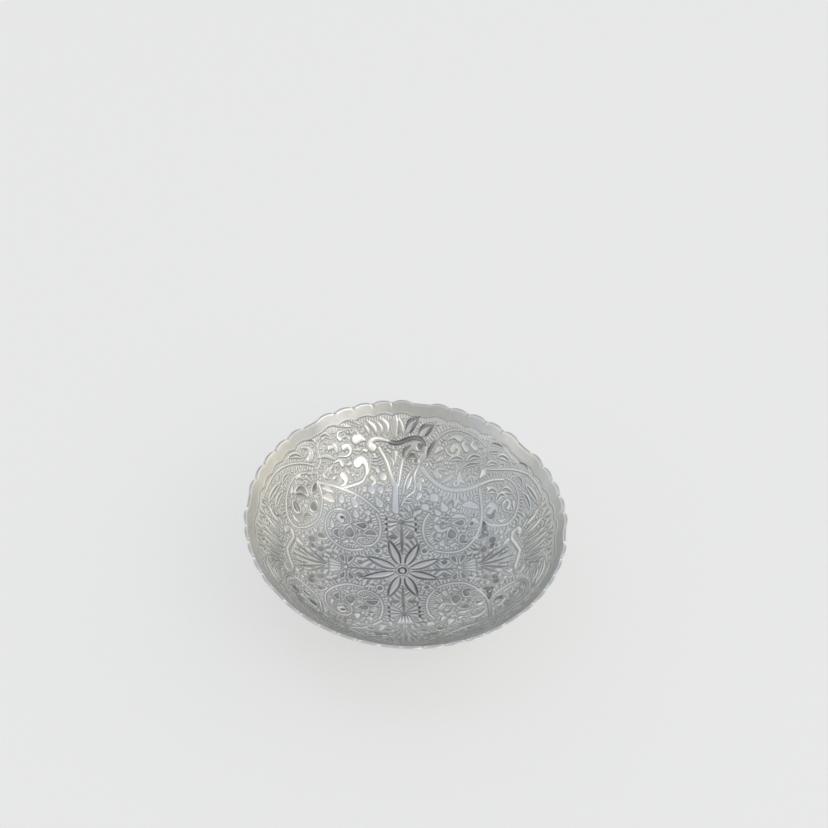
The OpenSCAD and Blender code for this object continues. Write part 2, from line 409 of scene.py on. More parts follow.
    # long stem along the border and its leaves
    band([(-58.4, 18.6), (-57, 23.4), (-54.6, 28.6), (-51, 32.8), (-46.2, 36), (-41.2, 37.8),
          (-36.4, 38.4)], 1.5, 1)
    veined([(-56.2, 15), (-54.4, 20.4), (-51.2, 26.8)], 2.6)
    veined([(-52, 14.6), (-51.4, 19.2), (-49.4, 23.6)], 2.4)
    veined([(-50.2, 26), (-49.6, 29), (-47.4, 31.8)], 1.9)
    veined([(-49.6, 37.2), (-46, 39.6), (-42.4, 39.8)], 2.4)
    comma([(-38.8, 40.4), (-38.4, 42.6), (-40.6, 44), (-43.6, 43.4)], 2.8)
    veined([(-42, 46.6), (-39.2, 47.6), (-35.6, 45.6)], 2.3)
    leaf([(-35.8, 41.6), (-31.4, 43.4), (-27, 42.8)], 1.7)
    veined([(-36.2, 49.8), (-33.4, 51.2), (-30.4, 50.4)], 2.2)
    band([(-34.2, 38), (-33.6, 41.2), (-35.4, 44.2), (-35.9, 47.6), (-33.6, 50)], 1, 0.8)
    comma([(-30.6, 46.8), (-28.4, 47.4), (-26.6, 45.2)], 2)
    leaf([(-30, 49.2), (-27.8, 48.2), (-26.2, 45.8)], 1)
    comma([(-26.2, 51), (-27.6, 51.8), (-27.4, 53.6), (-24.8, 54.6)], 1.7)
    leaf([(-31.8, 55.6), (-26.4, 56.4), (-21.6, 56.6)], 1.6)
    leaf([(-24.6, 58.8), (-21, 58.9), (-18.4, 58)], 1.5)
    leaf([(-31.6, 37), (-30.6, 35.6), (-28.2, 35)], 1.2)
    veined([(-48.6, 12.6), (-51.4, 11.6), (-54.6, 12.4)], 2)


def north_east():
    """Medallion and scrolls to the right of the large palmette."""
    band([(10.6, 24.6), (8.8, 21.6), (8.2, 17.5), (9, 13.2), (11.4, 9.8)], 1.2)
    band([(12.6, 8.4), (17, 7.3), (22, 7.7), (26.2, 10.8), (28.9, 15), (30.3, 19.4), (30.8, 25),
          (30.9, 31.2)], 1.3, 1.5)
    cup((18.3, 18.6), (18.8, 14.9), 3.7)
    comma([(13.3, 18.9), (14.4, 17.2), (16.4, 17.3), (17.6, 18.4)], 1.9)
    cup((18.9, 19.9), (22.4, 19.6), 2.7)
    comma([(26.4, 18.4), (27.7, 19.8), (29.2, 18)], 2.3)
    disc(26.5, 18.5, 1.4, CUT)
    comma([(22.8, 13.4), (22.3, 11.3), (24.4, 10.4)], 3)
    comma([(22.8, 13.2), (22.4, 11.6), (23.8, 10.9)], 1.8, CUT)
    band([(29.6, 16), (27.6, 15.8), (25.2, 15.6), (23.9, 13.9), (25.2, 12), (27, 12.8)], 0.8, 0.7)
    drop((15.6, 13.4), (14.9, 11.4), 1.9)
    drop((20.4, 11.4), (18.6, 10.2), 1.2)
    drop((12.2, 21), (13.6, 22.6), 1.3)
    leaf([(19, 22.2), (21.6, 22.6), (25.2, 21.4)], 1.5)
    leaf([(23.4, 26.6), (26.6, 26.2), (29.8, 24.2)], 2.5)
    disc(12.7, 30.9, 3.3)
    disc(9.2, 27.4, 2.9)
    drop((15.6, 29), (16.4, 26.3), 2.7)
    disc(20, 25.2, 1.8)
    drop((12.8, 26.6), (14, 24.6), 2)
    drop((6, 30.4), (7.2, 32.4), 1.8)
    # stem to the right and its leaves
    band([(8.4, 42.4), (11.6, 38.4), (15.6, 35), (20.5, 32.9), (26, 32.4), (31.6, 33), (37, 33.2),
          (42, 31.8)], 2.4, 1.5)
    leaf([(15.4, 36.2), (18.6, 37.4), (21, 38.8)], 1.5)
    ring(21.6, 35.4, 1.9, 0.8)
    comma([(14.8, 39), (13.8, 40.4), (15.4, 41.6), (17.6, 40.8)], 1.9)
    disc(17.8, 39.6, 1.2)
    disc(8, 38, 2)
    drop((7.6, 33.8), (7, 36.2), 2.1)
    leaf([(23.6, 39.6), (23.2, 36.8), (25.2, 34.6)], 1.7)
    veined([(24.2, 40.6), (28.6, 41.4), (34.2, 40.4)], 1.8)
    drop((31.2, 35), (33.6, 37.2), 2.5)
    veined([(19.4, 44.4), (23, 44.9), (26.2, 43.4)], 2.4)
    veined([(26.8, 43), (30.2, 44.2), (34.2, 42.8)], 2.3)
    band([(21.8, 38.6), (22.6, 41), (22.2, 43.2)], 0.8, 0.7)
    # upper scroll
    band([(10.7, 45.2), (12.2, 49.2), (15, 52.8), (19.4, 55.2), (24.2, 55.5), (29, 53.6), (33.4, 50.2),
          (36.6, 46.6)], 1.3, 1.1)
    comma([(25.2, 51.9), (23, 53), (19.8, 52.2)], 2.4)
    comma([(21.6, 48), (23.2, 49.6), (24.6, 47.6), (23, 45.9), (19.6, 46.8), (18.4, 49.6)], 2)
    comma([(27.6, 47.2), (26.4, 49.4), (28.4, 51)], 2)
    drop((14, 47.4), (16.2, 49.2), 2.1)
    drop((14.2, 44.2), (16.4, 45.4), 1.7)
    disc(18.4, 43.4, 1.3)
    comma([(31.6, 47), (30.2, 48.6), (31.6, 50.4)], 2)
    # great scroll on the right
    comma([(34.4, 20.7), (35.8, 22), (34.6, 24.2), (32.2, 23.4)], 3.6)
    stroke([(32.7, 20.6), (34.5, 19.5), (36.2, 21.6)], 1.5)
    band([(30.2, 19.6), (33.2, 16.6), (37.2, 14.8), (41, 14.4), (44.2, 16.2), (46.6, 19.8), (47.4, 24.4),
          (46, 29), (42.8, 32.4)], 1.3, 1.1)
    drop((31, 18.6), (31.2, 13), 2.2, CUT)
    veined([(36.8, 24.4), (39.2, 26.4), (41.8, 25.4)], 2.6, 0.6)
    veined([(39.6, 28), (42.4, 27.6), (45, 25)], 2.8, 0.7)
    veined([(33.2, 28.8), (36, 29.6), (38.2, 27.6)], 2.5, 0.5)
    drop((33.4, 31.4), (35.4, 30.2), 1.7)
    comma([(41.6, 20.4), (42.8, 21.9), (41.8, 23.5), (39.9, 22.9), (39.6, 20.4), (41.2, 18.8)], 1.3)
    drop((44.4, 18.4), (44.6, 21.4), 1.6)
    leaf([(36.4, 17.4), (38, 16.4), (40.4, 16.4)], 1.1)
    # long stem along the border and its leaves
    band([(58.4, 18.6), (56.6, 24), (53.6, 29.2), (49.2, 32.8), (44.4, 35.2), (39.6, 36.6),
          (34.6, 38.2)], 1.5, 1)
    veined([(35.4, 39.4), (38, 39.8), (41, 38)], 2.2)
    veined([(40.6, 41.4), (43.6, 40.6), (46.4, 37.4)], 2.6)
    veined([(36.6, 44.4), (39.4, 43.8), (42, 42.6)], 1.8)
    veined([(37.8, 47.4), (41, 46.6), (44.6, 43.6)], 2.3)
    leaf([(37.4, 50.4), (40.4, 49.2), (42.6, 47.6)], 1.7)
    veined([(56, 15), (54.2, 20.4), (51.4, 26.6)], 2.6)
    veined([(52, 14.6), (51.4, 19.2), (49.6, 23.8)], 2.4)
    veined([(50.2, 26), (49.6, 29), (47.6, 31.4)], 1.9)
    veined([(48.6, 12.6), (51.4, 11.6), (54.6, 12.4)], 2)
    veined([(49.6, 36.6), (52.4, 34.2), (54, 31)], 2)


motif(rosette, [(0, False)])
motif(axis_flower, [(0, False), (180, False)])
motif(side_flower, [(90, False), (270, False)])
motif(outward_fan, [(90, False), (180, False), (270, False)])
motif(large_palmette, [(0, False)])
motif(small_palmette, [(90, False), (180, False), (270, False)])
motif(north_west, [(0, False), (180, True)])
motif(north_east, [(0, False), (180, True)])


# Depth of the chasing

TICK_PITCH = 1.2             # of the hatching round every stroke
TURN_RUN = 1.4               # its run round a stroke's end, for each radian
STROKE_RUN = 0.37            # its start moves on by this from stroke to stroke
REACH, CUT_REACH = 4.2, 1.2  # how far from a stroke its distance is worked out
BORDER_LINE = LIP_AT - 3.9
HEM_CUTS = 330
# depths, then the tarnish of the same parts from 0 to 1, and the painted shade of the middle
GROUND_DEPTH, OUTLINE_DEPTH, TICK_DEPTH, GROOVE_DEPTH, CUP_DEPTH = 0.02, 0.19, 0.25, 0.22, 0.12
LINE_RISE, LEAF_RISE = 0.09, 0.11
OUTLINE_TONE, TICK_TONE, GROOVE_TONE, MIDDLE_SHADE_TONE = 0.68, 0.7, 0.72, 0.06
BORDER_TONE, BORDER_SATIN = 0.28, 0.6


def nearest(strokes, x, y, reach):
    """Distance to the edge of the nearest stroke, negative inside it, and the run along that stroke."""
    best = np.full(len(x), reach)
    run = np.zeros(len(x))
    for k, (line, half) in enumerate(strokes):
        margin = half.max() + reach
        low, high = line.min(0) - margin, line.max(0) + margin
        at = np.nonzero((x > low[0]) & (x < high[0]) & (y > low[1]) & (y < high[1]))[0]
        if not len(at):
            continue
        px, py = x[at], y[at]
        near, near_run = np.full(len(at), np.inf), np.zeros(len(at))
        gone = STROKE_RUN * k
        for (ax, ay), (bx, by), ha, hb in zip(line, line[1:], half, half[1:]):
            dx, dy = bx - ax, by - ay
            length = math.hypot(dx, dy)
            t = np.clip(((px - ax) * dx + (py - ay) * dy) / (length * length), 0, 1)
            d = np.hypot(px - ax - t * dx, py - ay - t * dy) - (ha + (hb - ha) * t)
            # round the end of a stroke the run goes on with the turn
            side = np.arctan2(dx * (py - ay) - dy * (px - ax), dx * (px - ax) + dy * (py - ay))
            round_end = np.where((t <= 0) | (t >= 1), side * TURN_RUN, 0)
            closer = d < near
            near = np.where(closer, d, near)
            near_run = np.where(closer, gone + t * length + round_end, near_run)
            gone += length
        closer = near < best[at]
        best[at[closer]] = near[closer]
        run[at[closer]] = near_run[closer]
    return best, run


def chasing(x, y):
    """Depth cut into the sheet, tarnish with painted shade, and matt ground at points of the flat layout."""
    s, angle = np.hypot(x, y), np.arctan2(y, x)
    edge, run = nearest(RAISED, x, y, REACH)
    line, _ = nearest(CUT, x, y, CUT_REACH)
    # the ground stops at the border's fine line, which follows the lobes
    limit = BORDER_LINE - np.minimum(lip_drop(angle), NOTCH_DROP)
    field = 1 - ease(limit - 0.9, limit - 0.6, s)
    border = np.exp(-((s - limit + 0.3) / 0.3) ** 2)
    ground = ease(0, 0.4, edge) * field
    outline = np.exp(-((edge - 0.24) / 0.24) ** 2) * field
    # the hatching runs round the strokes and, far from them, round the bowl's middle
    free = edge >= REACH - 0.05
    phase = np.where(free, angle * np.maximum(s, 1), run) * 2 * np.pi / TICK_PITCH
    hatched = ease(0.42, 0.7, edge) * np.where(free, 0.6, 1 - 0.5 * ease(2.8, 4, edge))
    hatched = hatched * ease(0.05, 0.4, line)
    quiet = ease(4.5, 8.5, s)
    ticks = (0.5 + 0.5 * np.cos(phase)) ** 1.2 * hatched * field * quiet
    ridges = (0.5 - 0.5 * np.cos(phase)) ** 1.4 * hatched * field * quiet
    # a row of short cuts hangs from the border's line
    hem = ease(limit - 2.8, limit - 2.2, s) * (1 - ease(limit - 1, limit - 0.7, s))
    hem_cuts = 0.6 * (0.5 + 0.5 * np.cos(angle * HEM_CUTS)) ** 1.3 * hem
    ticks = np.maximum(ticks * (1 - hem), hem_cuts)
    outline = outline * (1 - 0.7 * hem)
    groove = np.exp(-(np.maximum(line, 0) / 0.2) ** 2)
    dished = ease(0.2, 0.8, -line)
    # leaves and stems are gently domed, and the ground is pebbled by the punch
    dome = LEAF_RISE * np.clip(-edge / 1.1, 0, 1) ** 0.8
    pebbles = (np.sin(5.5 * x + 1.4 * np.sin(2.1 * y)) * np.sin(5.9 * y + 1.2 * np.sin(2.4 * x))
               * ground * (0.02 + 0.05 * ease(30, 46, s)) * ease(6, 12, s))
    depth = (GROUND_DEPTH * ground + OUTLINE_DEPTH * outline + TICK_DEPTH * ticks + GROOVE_DEPTH * groove
             + CUP_DEPTH * dished - LINE_RISE * border - dome * field + pebbles * (1 - hem))
    # tarnish is left in the cuts, with less of it up the wall and in the floor's cups
    worn = 1 - 0.3 * ease(22, 44, s)
    in_cups = (0.22 * ease(26, 34, s) - 0.12) * dished
    in_cuts = (GROOVE_TONE + in_cups) * groove * (1 - 0.08 * ease(32, 46, s))
    # painted shade and highlight: the middle is toned a little darker, standing in for the dark reflection
    # there, and the hatching's ridges are left light
    middle_shade = MIDDLE_SHADE_TONE * (1 - ease(26, 42, s)) * (1 - ridges)
    tarnish_and_shade = np.clip((OUTLINE_TONE * outline + TICK_TONE * ticks) * worn + in_cuts + middle_shade, 0, 1)
    # the near side is evened out: its cuts are shallower, and painted flat light makes them lighter and the
    # metal between them a little darker
    near_wall_evened = ease(24, 31, -y)
    depth = depth * (1 - 0.3 * near_wall_evened)
    tarnish_and_shade = tarnish_and_shade * (1 - 0.6 * near_wall_evened) + 0.18 * near_wall_evened
    tarnish_and_shade = np.maximum(tarnish_and_shade, BORDER_TONE * (1 - field))
    ground = np.maximum(ground * (0.8 + 0.2 * ease(40, 54, s)), BORDER_SATIN * (1 - field))
    return depth, tarnish_and_shade, ground


# Meshes

BORDER_FROM = 64.5           # where the chased pieces end and the plain border begins
BORDER_POINTS = 1080         # points round that joint, on both sides of it
LINER_T = 0.5                # thickness of the chased pieces
UNDER_POINTS, UNDER_RINGS, UNDER_STEP = 120, 9, 1
POLE_RING, UNDER_POLE_RING = 0.02, 0.6
# each piece's end along the sheet, and the pitch of its points
CHASED = (("chased_floor", 29.6, 0.186), ("chased_turn", 46.6, 0.214), ("chased_wall", BORDER_FROM, 0.258))
RING_SHARE = 0.88            # step from ring to ring, as a share of the pitch
MERGE = 0.000002


def added(name, data):
    """An object put into the scene."""
    obj = bpy.data.objects.new(name, data)
    bpy.context.collection.objects.link(obj)
    return obj


def mesh_object(name, points, faces):
    """An object from points in millimetres and triangles."""
    mesh = bpy.data.meshes.new(name)
    mesh.from_pydata((points * MM).tolist(), [], faces.tolist())
    mesh.update()
    return added(name, mesh)


def keep_tones(mesh, tarnish_and_shade, ground):
    """Stores the tarnish with the painted shade, and the matt ground of every point, for the finish to read.
    """
    for label, values in (("tarnish_and_shade", tarnish_and_shade), ("ground", ground)):
        layer = mesh.attributes.new(label, "FLOAT", "POINT")
        layer.data.foreach_set("value", values.astype(np.float32))


def knit(first, n, n_turn, second, m, m_turn):
    """Triangles between two rings of points, of n and m points, seen counterclockwise from above."""
    i, j = np.arange(n), np.arange(m)
    b = np.ceil((i + 0.5 + n_turn) * m / n - 0.5 - m_turn).astype(int)
    a = np.floor((j + 0.5 + m_turn) * n / m - 0.5 - n_turn).astype(int) + 1
    inner = np.stack([first + i, second + b % m, first + (i + 1) % n], 1)
    outer = np.stack([first + a % n, second + j % m, second + (j + 1) % m], 1)
    return np.vstack([inner, outer])


def fan(pole, first, n):
    """Triangles from a pole to a ring of n points."""
    return np.array([[pole, first + i, first + (i + 1) % n] for i in range(n)])


def ring_points(along, n, turn):
    """Flat layout of one ring of n points."""
    a = (np.arange(n) + turn) * 2 * np.pi / n
    return np.stack([along * np.cos(a), along * np.sin(a)], 1)


def on_sheet(flat, lift):
    """Points of the flat layout brought onto the bowl's inside, in millimetres."""
    s = np.hypot(flat[:, 0], flat[:, 1])
    angle = np.arctan2(flat[:, 1], flat[:, 0])
    r, z = section(s - scallop(s, angle), lift)
    return np.stack([r * np.cos(angle), r * np.sin(angle), z], 1)


def chased_rings():
    """Rings of the chased inside, as distance along the sheet, points and turn; each piece's last ring."""
    rings, ends, start = [], {}, 0
    for name, stop, pitch in CHASED:
        count = int(round((stop - start) / (pitch * RING_SHARE)))
        for k in range(1 if rings else 0, count + 1):
            along = start + (stop - start) * k / count
            n = max(6, int(round(2 * math.pi * float(section(along)[0]) / pitch)))
            rings.append([along, n, (len(rings) % 2) * 0.5])
        ends[name] = len(rings) - 1
        start = stop
    rings[0] = [POLE_RING, 6, 0]
    rings[-1] = [BORDER_FROM, BORDER_POINTS, 0]
    return rings, ends


def chase():
    """The chased inside, as closed pieces let into the sheet that meet edge to edge."""
    rings, ends = chased_rings()
    firsts = np.concatenate([[0], np.cumsum([r[1] for r in rings])])
    flat = np.vstack([ring_points(*r) for r in rings])
    depth, tarnish_and_shade, ground = chasing(flat[:, 0], flat[:, 1])
    top = on_sheet(flat, -depth)
    faces = [knit(firsts[k], *rings[k][1:], firsts[k + 1], *rings[k + 1][1:]) for k in range(len(rings) - 1)]
    every = np.vstack(faces)
    edge_a, edge_b = top[every[:, 1]] - top[every[:, 0]], top[every[:, 2]] - top[every[:, 0]]
    across = np.cross(edge_a, edge_b)
    normals = np.zeros_like(top)
    for c in range(3):
        np.add.at(normals, every[:, c], across)
    normals /= np.linalg.norm(normals, axis=1)[:, None]
    made, begin = [], 0
    for name, end in ends.items():
        made.append(chased_piece(name, rings, firsts, faces, begin, end, top, normals, tarnish_and_shade, ground))
        begin = end
    return made


def chased_piece(name, rings, firsts, faces, begin, end, top, normals, tarnish_and_shade, ground):
    """One piece of the chased inside, from ring begin to ring end, closed underneath."""
    low, high = firsts[begin], firsts[end + 1]
    count = shown = high - low
    points, tris = [top[low:high]], [np.vstack(faces[begin:end]) - low]
    # the underside, in wide rings between the piece's ends or in to the pole
    inner_end = rings[begin][0] + UNDER_STEP if begin else UNDER_POLE_RING
    between = np.linspace(rings[end][0] - UNDER_STEP, inner_end, UNDER_RINGS)
    under = [rings[end]] + [[along, UNDER_POINTS, 0] for along in between]
    if begin:
        under.append(rings[begin])
    starts = []
    for ring_under in under:
        starts.append(count)
        points.append(on_sheet(ring_points(*ring_under), -LINER_T))
        count += ring_under[1]
    for k in range(len(under) - 1):
        tris.append(knit(starts[k + 1], *under[k + 1][1:], starts[k], *under[k][1:])[:, ::-1])
    tris.append(knit(firsts[end] - low, *rings[end][1:], starts[0], *under[0][1:]))
    if begin:
        tris.append(knit(starts[-1], *under[-1][1:], 0, *rings[begin][1:]))
    else:
        points.append(np.array([[0, 0, top[0, 2]], [0, 0, FLOOR_Z - LINER_T]]))
        tris.append(fan(count, 0, rings[0][1]))
        tris.append(fan(count + 1, starts[-1], under[-1][1])[:, [0, 2, 1]])
    every = np.vstack(points)
    obj = mesh_object(name, every, np.vstack(tris))
    mesh = obj.data
    hidden = np.zeros(len(every) - shown)
    keep_tones(mesh, np.append(tarnish_and_shade[low:high], hidden), np.append(ground[low:high], hidden))
    # the top has the normals of the whole inside, so that the pieces meet without a line
    mesh.shade_smooth()
    index = np.zeros(len(mesh.loops), np.int32)
    mesh.loops.foreach_get("vertex_index", index)
    face_normals = np.zeros(len(mesh.polygons) * 3, np.float32)
    mesh.polygons.foreach_get("normal", face_normals)
    loop_normals = np.repeat(face_normals.reshape(-1, 3), 3, axis=0)
    top_loops = len(tris[0]) * 3
    loop_normals[:top_loops] = normals[low:high][index[:top_loops]]
    mesh.normals_split_custom_set(loop_normals.tolist())
    return obj


def spun(name, outline, steps):
    """A closed outline, as (radius, height) in millimetres, spun round the bowl's axis."""
    bpy.ops.mesh.primitive_circle_add(vertices=len(outline), fill_type="NOTHING")
    obj = bpy.context.object
    obj.name = obj.data.name = name
    for v, (r, z) in zip(obj.data.vertices, outline):
        v.co = (r * MM, 0, z * MM)
    turn = obj.modifiers.new("turn", "SCREW")
    turn.axis, turn.angle, turn.steps, turn.render_steps = "Z", 2 * math.pi, steps, steps
    turn.use_merge_vertices, turn.merge_threshold = True, MERGE
    bpy.ops.object.modifier_apply(modifier=turn.name)
    bpy.ops.object.mode_set(mode="EDIT")
    bpy.ops.mesh.select_all(action="SELECT")
    bpy.ops.mesh.remove_doubles(threshold=MERGE)
    bpy.ops.mesh.normals_make_consistent(inside=False)
    bpy.ops.object.mode_set(mode="OBJECT")
    bpy.ops.object.shade_smooth()
    return obj


def rounded(corner, before, after, radius, steps=5):
    """Points of a rounded corner between the points before and after it."""
    c, a, b = (np.array(p, float) for p in (corner, before, after))
    u, v = (a - c) / np.linalg.norm(a - c), (b - c) / np.linalg.norm(b - c)
    half = math.acos(np.clip(u @ v, -1, 1)) / 2
    reach = radius / math.tan(half)
    centre = c + (u + v) / np.linalg.norm(u + v) * radius / math.sin(half)
    start, end = c + u * reach - centre, c + v * reach - centre
    turn = math.acos(np.clip(start @ end / radius ** 2, -1, 1))
    out = []
    for k in range(steps + 1):
        t = k / steps
        arm = start * math.sin((1 - t) * turn) + end * math.sin(t * turn)
        out.append(tuple(centre + arm / math.sin(turn)))
    return out


# The bowl's sheet

LIP_ROUND_IN, LIP_ROUND_OUT = 0.42, 0.27
CRIMP_W, CRIMP_DEPTH, CRIMP_TONE = 0.36, 0.16, 0.4
NEAR_LIP = 12                # only what is nearer the lip than this follows the lobes
# painted shade under the outside, and more of it round the foot
UNDERSIDE_SHADE, FOOT_SHADE = 0.15, 0.22
CREASE = math.radians(50)


def sheet_line(low, high, count, lift=0):
    """Points of the sheet's section, as (radius, height), from one distance along it to another."""
    return [tuple(float(c) for c in section(s, lift)) for s in np.linspace(low, high, count)]


def bowl_outline():
    """Section of the sheet: the seat under the chased pieces, the plain border, the lip and the outside."""
    lip_in, lip_out, below = (MOUTH_R, LIP_Z), (MOUTH_R + LIP_W, LIP_Z), LIP_AT - 5
    return (sheet_line(0, BORDER_FROM, 15, -LINER_T)
            + sheet_line(BORDER_FROM, LIP_AT - 0.5, 11)
            + rounded(lip_in, section(below), lip_out, LIP_ROUND_IN, 7)
            + rounded(lip_out, lip_in, section(below, -SHEET_T), LIP_ROUND_OUT, 9)
            + sheet_line(LIP_AT - 1.4, TURN_END, 16, -SHEET_T)
            + sheet_line(TURN_END, 0, 22, -SHEET_T)[1:])


def bowl_sheet():
    """The pressed sheet with its scalloped lip, crimped at each notch."""
    obj = spun("bowl_sheet", bowl_outline(), BORDER_POINTS)
    mesh = obj.data
    co = np.zeros(len(mesh.vertices) * 3, np.float32)
    mesh.vertices.foreach_get("co", co)
    co = co.reshape(-1, 3).astype(float) / MM
    r, angle, z = np.hypot(co[:, 0], co[:, 1]), np.arctan2(co[:, 1], co[:, 0]), co[:, 2]
    # distances from the lip's inner edge, up the wall and off the metal
    cos_w, sin_w = math.cos(WALL_SLOPE), math.sin(WALL_SLOPE)
    from_lip = (r - MOUTH_R) * cos_w + (z - LIP_Z) * sin_w
    lift = (z - LIP_Z) * cos_w - (r - MOUTH_R) * sin_w
    along = LIP_AT + np.minimum(from_lip, 0)
    near_lip = from_lip > -NEAR_LIP
    back = scallop(np.where(near_lip, along, 0), angle)
    crimp = np.zeros(len(co))
    for notch in notch_angles():
        across = np.abs(np.mod(angle - notch + np.pi, 2 * np.pi) - np.pi) * MOUTH_R
        crimp = np.maximum(crimp, np.exp(-(across / CRIMP_W) ** 2))
    crimp *= ease(LIP_AT - 1.9, LIP_AT - 0.2, along) * near_lip
    inner = ease(-0.55, -0.1, lift) * (along > BORDER_FROM - 0.2)
    sink = CRIMP_DEPTH * crimp * inner
    new_r = r - back * cos_w + sink * sin_w
    new_z = z - back * sin_w - sink * cos_w
    co[:, :2] *= np.where(near_lip, new_r / np.maximum(r, 1), 1)[:, None]
    co[:, 2] = np.where(near_lip, new_z, z)
    mesh.vertices.foreach_set("co", (co * MM).astype(np.float32).ravel())
    mesh.update()
    # the border is satin, and wear has polished the lip
    border = ((along > BORDER_FROM - 0.2) & (lift > -0.3)) * (1 - 0.9 * ease(-0.9, -0.3, from_lip))
    # painted shade: the outside is darker where it faces down, most of all round the foot
    facing = np.zeros(len(co) * 3, np.float32)
    mesh.vertex_normals.foreach_get("vector", facing)
    underside_shade = ease(-0.1, 0.3, -facing[2::3]) * (UNDERSIDE_SHADE + FOOT_SHADE * (1 - ease(22, 36, r)))
    # the stored tone: tarnish in the crimps and on the border, and the painted shade underneath
    toned = np.maximum(np.maximum(CRIMP_TONE * crimp * inner, BORDER_TONE * border), underside_shade)
    keep_tones(mesh, toned, BORDER_SATIN * border)
    bpy.context.view_layer.objects.active = obj
    obj.select_set(True)
    bpy.ops.object.shade_smooth_by_angle(angle=CREASE)
    return obj


# Foot and solder

FOOT_R, NECK_R, NECK_T, BASE_W, EDGE_H, NECK_H = 24, 21.5, 1.2, 2, 1.2, 3.6
EDGE_ROUND, BASE_ROUND, NECK_ROUND = 0.25, 0.3, 0.8
LINE_H, LINE_HALF, LINE_DEPTH = 0.8, 0.08, 0.1
SOLDER_LEG, SOLDER_FILM, SOLDER_HOLLOW = 0.9, 0.1, 0.196
SOLDER_GAP = 0.02            # keeps its faces off those of the bowl and the foot
INSIDE_R = NECK_R - NECK_T


def underside(r):
    """Height of the bowl's underside at a radius on the dished bottom."""
    return FLOOR_Z + DISH_R - math.sqrt((DISH_R + SHEET_T) ** 2 - r * r)


def foot():
    """Flared ring with softened edges and a fine turned line round its base."""
    top_out, top_in = (NECK_R, underside(NECK_R) - SOLDER_FILM), (INSIDE_R, underside(INSIDE_R) - SOLDER_FILM)
    base_in, base_out, edge = (FOOT_R - BASE_W, 0), (FOOT_R, 0), (FOOT_R, EDGE_H)
    neck, neck_in = (NECK_R, NECK_H), (INSIDE_R, NECK_H)
    line_low, line_high = (FOOT_R, LINE_H - LINE_HALF), (FOOT_R, LINE_H + LINE_HALF)
    outline = (rounded(base_in, neck_in, base_out, EDGE_ROUND) + rounded(base_out, base_in, edge, BASE_ROUND)
               + [line_low, (FOOT_R - LINE_DEPTH, LINE_H), line_high]
               + rounded(edge, line_high, neck, EDGE_ROUND) + rounded(neck, edge, top_out, NECK_ROUND)
               + [top_out, top_in] + rounded(neck_in, top_in, base_in, NECK_ROUND))
    return spun("foot_ring_turned", outline, 360)


def solder_face(wall, side):
    """The solder's hollow face and its edge along the foot, outside the wall (1) or inside it (-1)."""
    face = []
    for t in (0.2, 0.4, 0.6, 0.8):
        hollow = SOLDER_HOLLOW * math.sin(math.pi * t)
        out = SOLDER_LEG * (1 - t) - hollow + SOLDER_GAP * t
        face.append((wall + side * out, underside(wall + side * 0.5) - SOLDER_LEG * t + hollow))
    edge, over = wall + side * SOLDER_GAP, underside(wall)
    return face + [(edge, over - SOLDER_LEG), (edge, over - SOLDER_FILM + SOLDER_GAP)]


def solder():
    """A run of solder with the slight lumps of a hand-laid joint."""
    top = [(r, underside(r) - SOLDER_GAP)
           for r in np.linspace(INSIDE_R - SOLDER_LEG, NECK_R + SOLDER_LEG, 9)]
    obj = spun("solder_run", top + solder_face(NECK_R, 1) + solder_face(INSIDE_R, -1)[::-1], 480)
    for v in obj.data.vertices:
        r, a = math.hypot(v.co.x, v.co.y) / MM, math.atan2(v.co.y, v.co.x)
        free = r > NECK_R + 0.1 or r < INSIDE_R - 0.1
        if free and v.co.z / MM < underside(r) - 0.06:
            slow, quick = math.sin(17 * a + 1.3 * math.sin(5 * a)), math.sin(41 * a + 2 * math.sin(3 * a))
            v.co.z -= (0.05 * slow + 0.035 * quick) * MM
    obj.data.update()
    return obj


# Finishes

def feed(tree, node, inputs):
    """Sets a node's inputs, each to a number, a colour, a vector or another node's output."""
    for key, value in inputs.items():
        socket = node.inputs[key]
        if isinstance(value, bpy.types.NodeSocket):
            tree.links.new(value, socket)
        else:
            socket.default_value = value + (1,) if socket.type == "RGBA" else value


def put(tree, kind, inputs, **settings):
    """Adds a node and gives its outputs."""
    node = tree.nodes.new("ShaderNode" + kind)
    for key, value in settings.items():
        setattr(node, key, value)
    feed(tree, node, inputs)
    return node.outputs


def math_node(tree, kind, a, b):
    """A sum, a product or the like of two values."""
    return put(tree, "Math", {0: a, 1: b}, operation=kind)["Value"]


def plus(tree, base, value, share):
    """The base and a share of a value."""
    return math_node(tree, "ADD", base, math_node(tree, "MULTIPLY", value, share))


def mix(tree, share, a, b):
    """A colour that goes from a to b with the share."""
    return put(tree, "Mix", {"Factor": share, "A": a, "B": b}, data_type="RGBA")["Result"]


def span(tree, value, low, high, to_low, to_high, kind="LINEAR"):
    """A value brought from one span to another and kept within it."""
    spans = {"Value": value, "From Min": low, "From Max": high, "To Min": to_low, "To Max": to_high}
    return put(tree, "MapRange", spans, interpolation_type=kind)["Result"]


